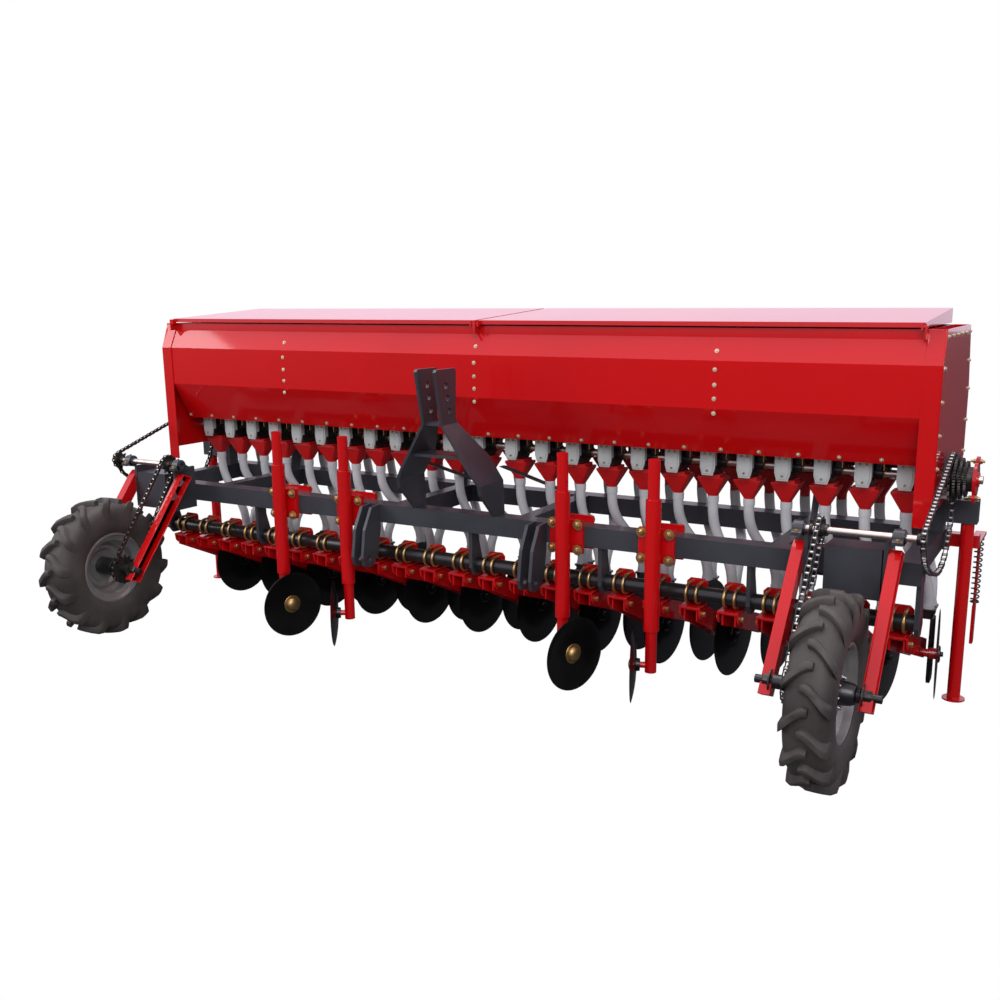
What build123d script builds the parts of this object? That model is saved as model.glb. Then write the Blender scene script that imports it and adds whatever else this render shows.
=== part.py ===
from build123d import *
import math
import os

os.makedirs("parts", exist_ok=True)

# Mounted seed drill, 24 rows at 150 mm.  Millimetres, +Z up.
# Origin: on the ground, at the middle of the machine's width and length.
# +X is the machine's left side as it drives off along -Y (to the right, seen from the tractor).

# ---------------------------------------------------------------- driving dimensions
ROWS = 24
PITCH = 150.0                    # row spacing
ROW_SHIFT = 70.0                 # the opener clamps sit this far to +X of the even layout
BOX_OFF = 88.0                   # first metering box from the middle partition
HALF = 1860.0                    # outer face of the hopper's end plates
BEAM = 80.0                      # square frame tube
BEAM_Z = 656.0                   # top of the front beam
BEAM_Y = -95.0                   # front face of the front beam
REAR_Y = 500.0                   # front face of the rear beam
BEAM_HALF = 1868.0
BAR_Y, BAR_Z, BAR_R = -30.0, 428.0, 30.0
WHEEL_X, WHEEL_Y, WHEEL_R = 1672.0, -521.0, 320.0
TYRE_W, RIM_R = 150.0, 163.0
DISC_R, DISC_T = 175.0, 4.0      # seed opener discs
FRONT_ROW_Y, REAR_ROW_Y = 295.0, 420.0
DISC_Z = 182.0
DISC_SIDE = 60.0                 # disc centre to +X of its clamp
LEG_Y, LEG_R, POST_R = -140.0, 30.0, 22.5
LEGS = (-919.0, -539.0, 539.0, 919.0)
STAND_X, STAND_Y, STAND_R = 1938.0, 452.0, 24.0


def block(x0, x1, y0, y1, z0, z1):
    return Pos((x0 + x1) / 2, (y0 + y1) / 2, (z0 + z1) / 2) * Box(x1 - x0, y1 - y0, z1 - z0)


def side(points, x0, x1):
    """Outline in (y, z), pulled along X from x0 to x1."""
    return extrude(Plane.YZ.offset(x0) * Polygon(*points, align=None), amount=x1 - x0, dir=(1, 0, 0))


def front(points, y0, y1):
    """Outline in (x, z), pulled along Y from y0 to y1."""
    return extrude(Plane.XZ.offset(-y0) * Polygon(*points, align=None), amount=y1 - y0, dir=(0, 1, 0))


def rod(p, q, r):
    """Round bar from point p to point q."""
    a, b = Vector(*p), Vector(*q)
    return extrude(Plane(origin=a, z_dir=b - a) * Circle(r), amount=(b - a).length)


def xrod(x0, x1, y, z, r):
    return rod((x0, y, z), (x1, y, z), r)


def ring(x0, x1, y, z, r_out, r_in):
    return xrod(x0, x1, y, z, r_out) - xrod(x0 - 1, x1 + 1, y, z, r_in)


def belt(c1, r1, c2, r2):
    """Flat outline, in (y, z), of a tight loop round two circles."""
    (y1, z1), (y2, z2) = c1, c2
    d = math.hypot(y2 - y1, z2 - z1)
    base = math.atan2(z2 - z1, y2 - y1)
    lean = math.acos((r1 - r2) / d)
    pts = []
    for c, r, sign in ((c1, r1, 1), (c2, r2, 1), (c2, r2, -1), (c1, r1, -1)):
        a = base + sign * lean
        pts.append((c[0] + r * math.cos(a), c[1] + r * math.sin(a)))
    return Polygon(*pts, align=None) + Pos(y1, z1) * Circle(r1) + Pos(y2, z2) * Circle(r2)


def chain_loop(x0, x1, c1, r1, c2, r2, t):
    loop = belt(c1, r1 + t, c2, r2 + t) - belt(c1, r1, c2, r2)
    return extrude(Plane.YZ.offset(x0) * loop, amount=x1 - x0, dir=(1, 0, 0))


def on(c, r, deg):
    return (c[0] + r * math.cos(math.radians(deg)), c[1] + r * math.sin(math.radians(deg)))


def slack_loop(x0, x1):
    """The hopper chain: tight above, hanging in a long slack bend below."""
    small, big, r1, r2 = (SHAFT_Y, SHAFT_Z), (METER_Y, METER_Z), 32 + CHAIN_T / 2, 84 + CHAIN_T / 2
    d = math.hypot(big[0] - small[0], big[1] - small[1])
    tan = math.degrees(math.atan2(big[1] - small[1], big[0] - small[0]) + math.acos((r1 - r2) / d))
    a, b, c, e = on(small, r1, tan), on(big, r2, tan), on(big, r2, -10), on(small, r1, -120)
    low = (327.6, 410.8)
    path = [Line(a, b), ThreePointArc(b, on(big, r2, 45), c), FilletPolyline(c, low, e, radius=190),
            ThreePointArc(e, on(small, r1, 180), a)]
    mid = Wire([edge for part in path for edge in part.edges()])
    loop = make_face(offset(mid, CHAIN_T / 2)) - make_face(offset(mid, -CHAIN_T / 2))
    return extrude(Plane.YZ.offset(x0) * loop, amount=x1 - x0, dir=(1, 0, 0))


def save(shapes, name):
    items = shapes if isinstance(shapes, (list, tuple)) else [shapes]
    solids = []
    for item in items:
        solids += list(item.solids())
    shape = solids[0] if len(solids) == 1 else Compound(children=solids)
    export_step(shape, f"parts/{name}.step")


def mirror_x(shape):
    return mirror(shape, about=Plane.YZ)


rows = [(i, (i - (ROWS - 1) / 2) * PITCH + ROW_SHIFT) for i in range(ROWS)]
boxes = [s * (BOX_OFF + PITCH * k) for k in range(ROWS // 2) for s in (-1, 1)]

# ---------------------------------------------------------------- main frame
front_beam = block(-BEAM_HALF, BEAM_HALF, BEAM_Y, BEAM_Y + BEAM, BEAM_Z - BEAM, BEAM_Z)
rear_beam = block(-BEAM_HALF, BEAM_HALF, REAR_Y, REAR_Y + BEAM, BEAM_Z - BEAM, BEAM_Z)
RAILS = (-1818.0, -1363.0, -313.0, 313.0, 1363.0, 1818.0)
rails = [block(x - 30, x + 30, BEAM_Y + BEAM, REAR_Y, BEAM_Z - BEAM, BEAM_Z) for x in RAILS]
save(front_beam, "front_beam")
save(rear_beam, "rear_beam")
save(rails, "frame_rails")

save(xrod(-1866, 1866, BAR_Y, BAR_Z, BAR_R), "opener_bar")
hangers = []
for x in (-1730.0, -1130.0, -530.0, 70.0, 670.0, 1270.0, 1858.0):
    plate = side([(BEAM_Y + 20, BEAM_Z - BEAM), (BEAM_Y + BEAM - 2, BEAM_Z - BEAM), (BEAM_Y + BEAM - 2, 530), (BAR_Y + 46, BAR_Z - 10),
                  (BAR_Y + 20, BAR_Z - 44), (BAR_Y - 20, BAR_Z - 44), (BAR_Y - 46, BAR_Z - 10)], x - 8, x + 8)
    hangers.append(plate - xrod(x - 10, x + 10, BAR_Y, BAR_Z, BAR_R))
save(hangers, "bar_hangers")

# ---------------------------------------------------------------- three-point hitch
PIN_R = 12.8
A_TOP = 1261.0
A_HOLES = ((-205.0, 1195.0), (-195.0, 1146.0), (-184.0, 1092.0))
path = [(38.0, A_TOP), (38.0, 1040.0), (190.0, 800.0), (190.0, BEAM_Z)]
strip = front(path + [(x + 14, z) for x, z in reversed(path)], -400, 200)
outline = side([(-280, A_TOP - 10), (-270, A_TOP), (-140, A_TOP), (-132, A_TOP - 14), (-140, 1060), (-30, 900),
                (-15, BEAM_Z), (BEAM_Y, BEAM_Z), (-200, 760), (-225, 850), (-235, 1030)], 0, 400)
cheek = strip & outline
for y, z in A_HOLES:
    cheek = cheek - xrod(30, 60, y, z, PIN_R)
cross = [block(-38, 38, -226, -150, 1034, 1046), block(-120, 120, -200, -80, 900, 912)]
save([cheek, mirror_x(cheek)] + cross, "top_hitch")
braces = []
for s in (-1, 1):
    braces.append(side([(-60, 860), (-20, 860), (REAR_Y + 60, BEAM_Z), (REAR_Y + 20, BEAM_Z)], 204, 216))
save([braces[0], mirror_x(braces[1])], "hitch_braces")
LINK_Y, LINK_Z, LINK_R = -187.0, 430.0, 14.25
ears = []
for s in (-1, 1):
    for x in (387.5, 437.5):
        ear = side([(BEAM_Y, BEAM_Z), (BEAM_Y - 60, BEAM_Z - 4), (-208, 560), (-228, 440), (-218, 404), (-198, 394),
                    (-158, 394), (-120, 440), (BEAM_Y, 556)], x - 7, x + 7)
        ear = ear - xrod(x - 10, x + 10, LINK_Y, LINK_Z, LINK_R)
        ears.append(ear if s > 0 else mirror_x(ear))
save(ears, "lower_hitch")

# ---------------------------------------------------------------- land wheels and their arms
SHAFT_Y, SHAFT_Z = -210.0, 765.0
brackets, wheel_arms, shafts = [], [], []
for name, s in (("left", -1), ("right", 1)):
    flip = (lambda q: q) if s > 0 else mirror_x
    bracket = block(1570, 1757, -220, BEAM_Y, 545, 716)
    ends = [block(x0, x1, -220, BEAM_Y + 0, 545, 745) for x0, x1 in ((1500, 1514), (1762, 1776))]
    bridge = block(1514, 1570, -150, BEAM_Y, 600, 690)
    brackets.append(flip(bracket + ends[0] + ends[1] + bridge + block(1757, 1762, -200, BEAM_Y, 600, 690)))
    arms = []
    for x in (1480.0, 1796.0):
        arms.append(side([(-150, 700), (-200, 720), (-225, 700), (WHEEL_Y - 40, 285), (WHEEL_Y + 10, 262)],
                         x - 20, x + 20))
    axle = xrod(1440, 1840, WHEEL_Y, 320, 14)
    wheel_arms.append(flip(arms[0] + arms[1] + axle))
    tyre = ring(1672 - 75, 1672 + 75, WHEEL_Y, 320, WHEEL_R, RIM_R)
    save(flip(tyre), f"tyre_{name}")
    rim = ring(1672 - 60, 1672 + 60, WHEEL_Y, 320, RIM_R, 150) + ring(1672 - 8, 1672 + 8, WHEEL_Y, 320, 150, 40)
    hub = ring(1672 - 70, 1672 + 90, WHEEL_Y, 320, 42, 14.05)
    save(flip(rim + hub), f"rim_{name}")
    shafts.append(flip(xrod(1475, 1890, SHAFT_Y, SHAFT_Z, 12.5)))
save(brackets, "wheel_brackets")
save(wheel_arms, "wheel_arms")
save(shafts, "countershafts")

both = []
for x in (1480.0, 1807.0):
    both.append(block(x - 22, x + 22, SHAFT_Y - 45, SHAFT_Y + 45, 745, 765 + 32) - xrod(x - 30, x + 30, SHAFT_Y, SHAFT_Z, 12.5))
save(both + [mirror_x(b) for b in both], "pillow_blocks")

CHAIN_T = 12.0

# ---------------------------------------------------------------- hopper
WALL = 4.0
METER_Y, METER_Z = 320.0, 885.0
skin = [(130, 1420), (130, 1385), (88, 1300), (88, 1120), (186, 940), (400, 940), (800, 1180), (740, 1420)]
inner = [(130 + WALL, 1421), (130 + WALL, 1384), (88 + WALL, 1299), (88 + WALL, 1121), (188.4, 944), (399, 944),
         (796 - 1, 1182), (736, 1421)]
END_IN = 1797.0
shell = side(skin, -END_IN, END_IN) - side(inner, -END_IN + WALL, -2) - side(inner, 2, END_IN - WALL)
save(shell, "hopper_shell")
plate = [(135, 1420), (88, 1300), (88, 790), (700, 790), (836, 902), (826, 1171), (739, 1420)]
ends = []
for s in (-1, 1):
    end = side(plate, HALF - 4, HALF) + block(1795, HALF - 4, 84, 88, 738, 1300)
    end = end - xrod(1790, 1870, METER_Y, METER_Z, 15)
    ends.append(end if s > 0 else mirror_x(end))
save(ends, "hopper_ends")

HINGE_Y, HINGE_Z = 103.0, 1428.0
lid_profile = [(112, 1443), (730, 1483), (740, 1478), (740, 1426), (737, 1426), (737, 1476), (730, 1480),
               (118, 1440), (115, 1426), (112, 1426)]
for name, s in (("left", -1), ("right", 1)):
    lid = side(lid_profile, 8, 1790)
    for x in (8, 1787):
        lid = lid + side([(112, 1443), (730, 1483), (740, 1478), (740, 1426), (112, 1426)], x, x + 3)
    lid = lid + block(14, 20, 92, 114, 1417, 1440) + block(1778, 1784, 92, 114, 1417, 1440)
    for x in (17, 1781):
        lid = lid - xrod(x - 4, x + 4, HINGE_Y, HINGE_Z, 5.1)
    save(lid if s > 0 else mirror_x(lid), f"lid_{name}")
hinge = []
for x0, x1, p0, p1 in ((-6, 6, -21, 21),):
    hinge.append(block(x0, x1, 92, 130, 1386, 1439) + xrod(p0, p1, HINGE_Y, HINGE_Z, 5))
for s in (-1, 1):
    e = block(1791, 1797, 92, 130, 1386, 1439) + xrod(1777, 1791, HINGE_Y, HINGE_Z, 5)
    hinge.append(e if s > 0 else mirror_x(e))
save(hinge, "lid_hinges")

# ---------------------------------------------------------------- metering, funnels, seed tubes
FUN_Y, FUN_TOP, FUN_BOT = 325.0, 822.0, 722.0
housings, funnels, tubes_f, tubes_r = [], [], [], []
for x in boxes:
    housings.append(block(x - 32, x + 32, 243, 380, 836, 940) - xrod(x - 40, x + 40, METER_Y, METER_Z, 15))
    top = Plane.XY.offset(FUN_TOP) * Pos(x, FUN_Y) * Rectangle(112, 90)
    low = Plane.XY.offset(FUN_BOT + 30) * Pos(x, FUN_Y) * Rectangle(44, 44)
    funnels.append(loft([top.face(), low.face()]) + block(x - 40, x + 40, FUN_Y - 40, FUN_Y + 40, FUN_TOP, 836)
                   + rod((x, FUN_Y, FUN_BOT), (x, FUN_Y, FUN_BOT + 30), 20))
save(housings, "metering_boxes")
save(funnels, "seed_funnels")

discs, axles, boots, arms, clamps, ubolts, tubes = [], [], [], [], [], [], []
BOOT_TOP = 340.0
for (i, x), bx in zip(rows, sorted(boxes)):
    row_y = REAR_ROW_Y if i % 2 else FRONT_ROW_Y
    toe = 8.0 if i < ROWS - 1 else -8.0
    cx = x + DISC_SIDE
    centre = Vector(cx + (16 if toe < 0 else 0), row_y, DISC_Z)
    normal = Vector(math.cos(math.radians(toe)), -math.sin(math.radians(toe)), 0)
    disc = extrude(Plane(origin=centre - normal * DISC_T / 2, z_dir=normal) * Circle(DISC_R), amount=DISC_T)
    hub = extrude(Plane(origin=centre + normal * DISC_T / 2, z_dir=normal) * Circle(34), amount=10)
    discs.append(disc + hub)
    arm = side([(BAR_Y - 36, BAR_Z - 52), (BAR_Y + 50, BAR_Z - 52), (row_y + 36, DISC_Z + 44), (row_y + 40, DISC_Z - 8),
                (row_y - 10, DISC_Z - 20), (BAR_Y - 36, BAR_Z - 98)], x - 25, x + 30)
    stub = extrude(Plane(origin=centre - normal * DISC_T / 2, z_dir=-normal) * Circle(16), amount=60) - arm
    arms += [arm + stub]
    tx, ty = cx - 38, row_y + 70
    boots.append(block(tx - 28, tx + 28, ty - 28, ty + 28, BOOT_TOP - 40, BOOT_TOP)
                 + side([(ty - 28, BOOT_TOP - 40), (ty + 28, BOOT_TOP - 40), (ty + 40, 60), (ty - 20, 40)],
                        cx - 24, cx - 10)
                 + block(cx - 24, cx - 10, row_y + 37, ty, DISC_Z - 6, DISC_Z + 30))
    clamps.append(block(x - 42, x + 42, BAR_Y - 45, BAR_Y + 45, BAR_Z - 52, BAR_Z - 30))
    clamps.append(block(x - 42, x + 42, BAR_Y - 45, BAR_Y + 45, BAR_Z + 30, BAR_Z + 38))
    for dx in (-20, 20):
        for y in (BAR_Y - 36.5, BAR_Y + 36.5):
            ubolts.append(rod((x + dx, y, BAR_Z - 30), (x + dx, y, BAR_Z + 30), 6))
    run = FilletPolyline((bx, FUN_Y, FUN_BOT), (bx, FUN_Y, FUN_BOT - 120), (tx, ty, BOOT_TOP + 90), (tx, ty, BOOT_TOP),
                         radius=120)
    tubes.append(sweep(Plane(origin=(bx, FUN_Y, FUN_BOT), z_dir=(0, 0, -1)) * Circle(21), path=run))
save(discs, "opener_discs")
save(boots, "opener_boots")
save(arms, "opener_arms")
save(clamps, "opener_clamps")
save(ubolts, "u_bolts")
save(tubes, "seed_tubes")

# ---------------------------------------------------------------- wheel-track loosener legs and discs
ERAD = (("a", -919.0, 1, -19.0), ("b", -539.0, -1, 34.0), ("c", 539.0, 1, -20.0), ("d", 919.0, -1, 20.0))
E_R, E_Z = 149.0, 152.0
sleeves, posts = [], []
for tag, x, hand, toe in ERAD:
    sleeve = rod((x, LEG_Y, 291), (x, LEG_Y, 799), LEG_R) - rod((x, LEG_Y, 290), (x, LEG_Y, 800), POST_R + 0.5)
    plate = block(x - 72, x + 72, BEAM_Y - 15, BEAM_Y, 549, 683)
    back = block(x - 72, x + 72, BEAM_Y + BEAM, BEAM_Y + BEAM + 12, 549, 683)
    sleeves += [sleeve + plate, back]
    posts.append(rod((x, LEG_Y, 125), (x, LEG_Y, 950), POST_R))
    a = math.radians(toe)
    n = Vector(math.cos(a), math.sin(a), 0) * hand
    base = Vector(x, LEG_Y, E_Z)
    posts.append(extrude(Plane(origin=base + n * 15, z_dir=n) * Circle(12), amount=60) - posts[-1])
    c = base + n * 55
    dish = extrude(Plane(origin=c, z_dir=n) * Circle(E_R), amount=5)
    dish = dish + extrude(Plane(origin=c, z_dir=n) * Circle(30), amount=25)
    dish = dish - extrude(Plane(origin=base, z_dir=n) * Circle(12.1), amount=75.3)
    save(dish, f"loosener_disc_{tag}")
save(sleeves, "leg_sleeves")
save(posts, "leg_posts")

# ---------------------------------------------------------------- parking stands
for name, s in (("left", -1), ("right", 1)):
    post = rod((STAND_X, STAND_Y, 6), (STAND_X, STAND_Y, 760), STAND_R) + rod((STAND_X, STAND_Y, 0), (STAND_X, STAND_Y, 6), 42)
    save(post if s > 0 else mirror_x(post), f"stand_{name}")
sb = block(HALF - 4, STAND_X + 34, STAND_Y - 30, STAND_Y + 34, 700, 788)
sb = sb - rod((STAND_X, STAND_Y, 690), (STAND_X, STAND_Y, 800), STAND_R + 0.3)
save([sb, mirror_x(sb)], "stand_brackets")
# ---------------------------------------------------------------- metering drive
loops, end_loops, sprockets, end_drive = [], [], [], []
loops.append(chain_loop(1541, 1557, (SHAFT_Y, SHAFT_Z), 36, (WHEEL_Y, 320), 60, CHAIN_T))
end_loops.append(slack_loop(1877, 1893))
sprockets.append(ring(1544, 1554, SHAFT_Y, SHAFT_Z, 36, 12.5))
sprockets.append(ring(1544, 1554, WHEEL_Y, 320, 60, 14))
sprockets.append(ring(1879, 1889, SHAFT_Y, SHAFT_Z, 32, 12.5))
end_drive.append(ring(1879, 1889, METER_Y, METER_Z, 84, 15))
end_drive.append(ring(HALF, 1877, METER_Y, METER_Z, 36, 15))
end_drive.append(ring(1889, 1960, METER_Y, METER_Z, 45, 15) + ring(1960, 1972, METER_Y, METER_Z, 88, 15))
save(loops + [mirror_x(q) for q in loops], "wheel_chains")
save(end_loops + [mirror_x(q) for q in end_loops], "hopper_chains")
save(sprockets + [mirror_x(q) for q in sprockets], "sprockets")
save(end_drive + [mirror_x(q) for q in end_drive], "end_drives")
save(xrod(-1990, 1990, METER_Y, METER_Z, 15), "metering_shaft")

# ---------------------------------------------------------------- hopper supports
supports = []
for x in (-1363.0, -313.0, 313.0, 1363.0):
    supports.append(side([(430, BEAM_Z), (500, BEAM_Z), (640, 1083.6), (560, 1035.6)], x - 6, x + 6))
for s in (-1, 1):
    post = block(HALF - 64, HALF - 4, 440, 500, BEAM_Z, 900)
    supports.append(post if s > 0 else mirror_x(post))
save(supports, "hopper_supports")

# ---------------------------------------------------------------- rear end springs
holders, springs = [], []
SPRING_X, SPRING_Y = 1955.0, 760.0
h = block(BEAM_HALF, SPRING_X + 20, REAR_Y + 10, REAR_Y + 60, 590, 640) + block(SPRING_X - 20, SPRING_X + 20, REAR_Y + 60, 790, 590, 602)
link = block(SPRING_X - 6, SPRING_X + 6, SPRING_Y - 20, SPRING_Y + 20, 140, 300)
rodp = rod((SPRING_X, SPRING_Y, 300), (SPRING_X, SPRING_Y, 590), 6)
spr = rod((SPRING_X, SPRING_Y, 310), (SPRING_X, SPRING_Y, 580), 15) - rod((SPRING_X, SPRING_Y, 300), (SPRING_X, SPRING_Y, 590), 6.1)
save([h + link + rodp, mirror_x(h + link + rodp)], "rear_holders")
save([spr, mirror_x(spr)], "rear_springs")
print("done")
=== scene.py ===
# %% [markdown]
# # A mounted seed drill, dressed round its CAD frame
#
# The drill is a wide farm machine: a red sheet-metal hopper on a dark square-tube
# frame, with rows of seed tubes and disc openers below it and a land wheel at each
# front corner. The solids of the frame are packed already and carry the main shapes.
# This lesson adds paint, rubber, plastic and small fasteners, and draws the toothed,
# folded and coiled parts again in more detail.
#
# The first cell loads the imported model. Later cells measure its solids, so that every
# new piece sits where its solid does.

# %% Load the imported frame
import math

import bmesh
import bpy
from mathutils import Matrix, Vector


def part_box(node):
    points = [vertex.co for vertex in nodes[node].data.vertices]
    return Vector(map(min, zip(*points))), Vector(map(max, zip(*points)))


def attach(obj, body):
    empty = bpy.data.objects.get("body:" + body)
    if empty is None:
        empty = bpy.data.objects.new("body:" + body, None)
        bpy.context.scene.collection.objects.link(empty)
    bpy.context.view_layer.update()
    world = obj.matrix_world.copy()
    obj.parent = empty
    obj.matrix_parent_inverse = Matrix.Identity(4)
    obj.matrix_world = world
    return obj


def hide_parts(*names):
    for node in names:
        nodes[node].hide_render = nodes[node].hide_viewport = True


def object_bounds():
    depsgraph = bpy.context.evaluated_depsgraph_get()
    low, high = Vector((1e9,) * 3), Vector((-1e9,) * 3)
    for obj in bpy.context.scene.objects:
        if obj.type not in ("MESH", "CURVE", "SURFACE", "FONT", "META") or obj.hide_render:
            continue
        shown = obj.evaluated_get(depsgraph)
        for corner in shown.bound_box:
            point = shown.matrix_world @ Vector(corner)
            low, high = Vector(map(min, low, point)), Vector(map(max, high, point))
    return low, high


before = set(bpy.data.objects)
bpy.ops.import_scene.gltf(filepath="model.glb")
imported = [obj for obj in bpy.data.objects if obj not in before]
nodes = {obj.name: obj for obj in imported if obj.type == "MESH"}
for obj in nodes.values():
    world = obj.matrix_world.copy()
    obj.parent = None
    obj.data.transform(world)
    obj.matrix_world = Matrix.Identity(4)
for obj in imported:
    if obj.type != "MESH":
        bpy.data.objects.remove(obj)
CAD_BOX = [list(corner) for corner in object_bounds()]

# %% [markdown]
# ## Materials from nodes
#
# A finish on a machine is rarely one flat colour. Paint has a faint orange peel and
# dust in its corners, rubber is matt and grey at its worn edges, and plated steel
# drifts between gold and grey. Painted images could show it, but each part would need
# unwrapping first. So one helper makes a Principled material and mixes two tones by
# noise. It reads object coordinates, so the grain keeps its real size.

# %% A helper for two-tone finishes
def finish(name, tone, second, size, rough, rough_to, bump, bump_size, metal=0.0, coat=0.0, shine=0.5):
    """Principled material: colour and roughness drift by noise, with a fine bump."""
    mat = bpy.data.materials.new(name)
    mat.use_nodes = True
    tree = mat.node_tree
    shader = tree.nodes["Principled BSDF"]
    coords = tree.nodes.new("ShaderNodeTexCoord")
    cloud = tree.nodes.new("ShaderNodeTexNoise")
    cloud.inputs["Scale"].default_value = size
    cloud.inputs["Detail"].default_value = 6.0
    tree.links.new(coords.outputs["Object"], cloud.inputs["Vector"])
    ramp = tree.nodes.new("ShaderNodeValToRGB")
    for stop, position, colour in zip(ramp.color_ramp.elements, (0.28, 0.72), (tone, second)):
        stop.position = position
        stop.color = (*colour, 1.0)
    tree.links.new(cloud.outputs["Fac"], ramp.inputs["Fac"])
    tree.links.new(ramp.outputs["Color"], shader.inputs["Base Color"])
    span = tree.nodes.new("ShaderNodeMapRange")
    span.inputs["To Min"].default_value = rough
    span.inputs["To Max"].default_value = rough_to
    tree.links.new(cloud.outputs["Fac"], span.inputs["Value"])
    tree.links.new(span.outputs["Result"], shader.inputs["Roughness"])
    shader.inputs["Metallic"].default_value = metal
    shader.inputs["Specular IOR Level"].default_value = shine
    if coat:
        shader.inputs["Coat Weight"].default_value = coat
        shader.inputs["Coat Roughness"].default_value = 0.07
    grain = tree.nodes.new("ShaderNodeTexNoise")
    grain.inputs["Scale"].default_value = bump_size
    grain.inputs["Detail"].default_value = 3.0
    tree.links.new(coords.outputs["Object"], grain.inputs["Vector"])
    bumper = tree.nodes.new("ShaderNodeBump")
    bumper.inputs["Strength"].default_value = bump
    bumper.inputs["Distance"].default_value = 0.002
    tree.links.new(grain.outputs["Fac"], bumper.inputs["Height"])
    tree.links.new(bumper.outputs["Normal"], shader.inputs["Normal"])
    return mat


# %% The finishes of the drill
RED = finish("red_paint", (0.60, 0.002, 0.004), (0.52, 0.0015, 0.003), size=1.6, rough=0.38, rough_to=0.48,
             bump=0.04, bump_size=260, coat=1.0, shine=0.1)
RED_CAST = finish("red_paint_on_castings", (0.60, 0.003, 0.006), (0.46, 0.002, 0.004), size=14, rough=0.38,
                  rough_to=0.50, bump=0.12, bump_size=180, coat=1.0, shine=0.1)
DARK = finish("dark_grey_paint", (0.026, 0.028, 0.036), (0.042, 0.045, 0.056), size=5, rough=0.34,
              rough_to=0.48, bump=0.10, bump_size=220, coat=0.15)
BLACK = finish("black_paint", (0.006, 0.006, 0.007), (0.014, 0.014, 0.015), size=9, rough=0.25,
               rough_to=0.42, bump=0.10, bump_size=200, coat=0.2)
RUBBER = finish("tyre_rubber", (0.028, 0.024, 0.023), (0.068, 0.058, 0.054), size=7, rough=0.50,
                rough_to=0.72, bump=0.30, bump_size=320)
SILVER = finish("silver_rim_paint", (0.46, 0.46, 0.46), (0.33, 0.33, 0.32), size=11, rough=0.34,
                rough_to=0.5, bump=0.10, bump_size=240, metal=0.75)
STEEL = finish("bright_turned_steel", (0.74, 0.70, 0.62), (0.50, 0.46, 0.40), size=16, rough=0.30,
               rough_to=0.48, bump=0.08, bump_size=300, metal=1.0)
CHAIN = finish("oiled_chain_steel", (0.10, 0.095, 0.09), (0.035, 0.032, 0.03), size=60, rough=0.35,
               rough_to=0.55, bump=0.12, bump_size=400, metal=0.85)
ZINC = finish("yellow_zinc_plate", (0.62, 0.40, 0.13), (0.42, 0.27, 0.16), size=24, rough=0.26,
              rough_to=0.42, bump=0.06, bump_size=340, metal=0.9)
BRASS = finish("brass_cap", (0.55, 0.37, 0.15), (0.36, 0.24, 0.10), size=20, rough=0.3,
               rough_to=0.48, bump=0.1, bump_size=300, metal=0.9)
BRIGHT = finish("white_zinc_plate", (0.62, 0.62, 0.60), (0.44, 0.44, 0.43), size=30, rough=0.25,
                rough_to=0.4, bump=0.05, bump_size=320, metal=0.9)
PALE = finish("pale_brass_plate", (0.72, 0.66, 0.50), (0.56, 0.50, 0.36), size=40, rough=0.35,
              rough_to=0.5, bump=0.05, bump_size=320, metal=0.6)
TUBE = finish("white_seed_tube", (0.66, 0.67, 0.71), (0.50, 0.52, 0.57), size=9, rough=0.30,
              rough_to=0.42, bump=0.08, bump_size=120)
GREY_BOX = finish("pale_grey_plastic", (0.52, 0.54, 0.55), (0.42, 0.44, 0.45), size=18, rough=0.42,
                  rough_to=0.55, bump=0.12, bump_size=260)
FUNNEL = finish("red_plastic", (0.60, 0.008, 0.010), (0.50, 0.006, 0.008), size=16, rough=0.34,
                rough_to=0.46, bump=0.10, bump_size=240)
DISC = finish("black_disc_paint", (0.0025, 0.0025, 0.003), (0.009, 0.0085, 0.008), size=6, rough=0.25,
              rough_to=0.40, bump=0.08, bump_size=260, coat=0.35, shine=0.2)
print("finishes:", len(bpy.data.materials))

# %% Which finish each solid wears
WEARS = {
    RED: ("hopper_shell", "hopper_ends", "lid_left", "lid_right", "lid_hinges", "wheel_arms", "stand_left",
          "stand_right", "leg_sleeves", "leg_posts"),
    RED_CAST: ("opener_arms", "opener_clamps", "rear_holders"),
    DARK: ("front_beam", "rear_beam", "frame_rails", "bar_hangers", "top_hitch", "hitch_braces",
           "lower_hitch", "wheel_brackets", "hopper_supports", "stand_brackets"),
    BLACK: ("opener_bar", "opener_boots", "pillow_blocks"),
    RUBBER: ("tyre_left", "tyre_right"),
    SILVER: ("rim_left", "rim_right"),
    STEEL: ("countershafts", "metering_shaft"),
    CHAIN: ("wheel_chains", "hopper_chains", "sprockets", "rear_springs", "end_drives"),
    ZINC: ("u_bolts",),
    TUBE: ("seed_tubes",),
    GREY_BOX: ("metering_boxes",),
    FUNNEL: ("seed_funnels",),
    DISC: ("opener_discs", "loosener_disc_a", "loosener_disc_b", "loosener_disc_c", "loosener_disc_d"),
}
for mat, names in WEARS.items():
    for name in names:
        nodes[name].data.materials.clear()
        nodes[name].data.materials.append(mat)
bare = [n for n in nodes if not any(n in names for names in WEARS.values())]
print("solids without a finish:", bare)

# %% [markdown]
# ## Building blocks for small pieces
#
# A bare solid looks like a toy because the fasteners are missing. On the real drill
# every sheet, plate and bearing is bolted on, so the bolt heads give the eye its
# scale. A bump texture would vanish at the outline, so each head is real geometry. The
# helpers below turn profiles into rings and hexagons, in metres, and hang the result
# on the CAD body that carries it, so it moves with that body's joints.

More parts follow.
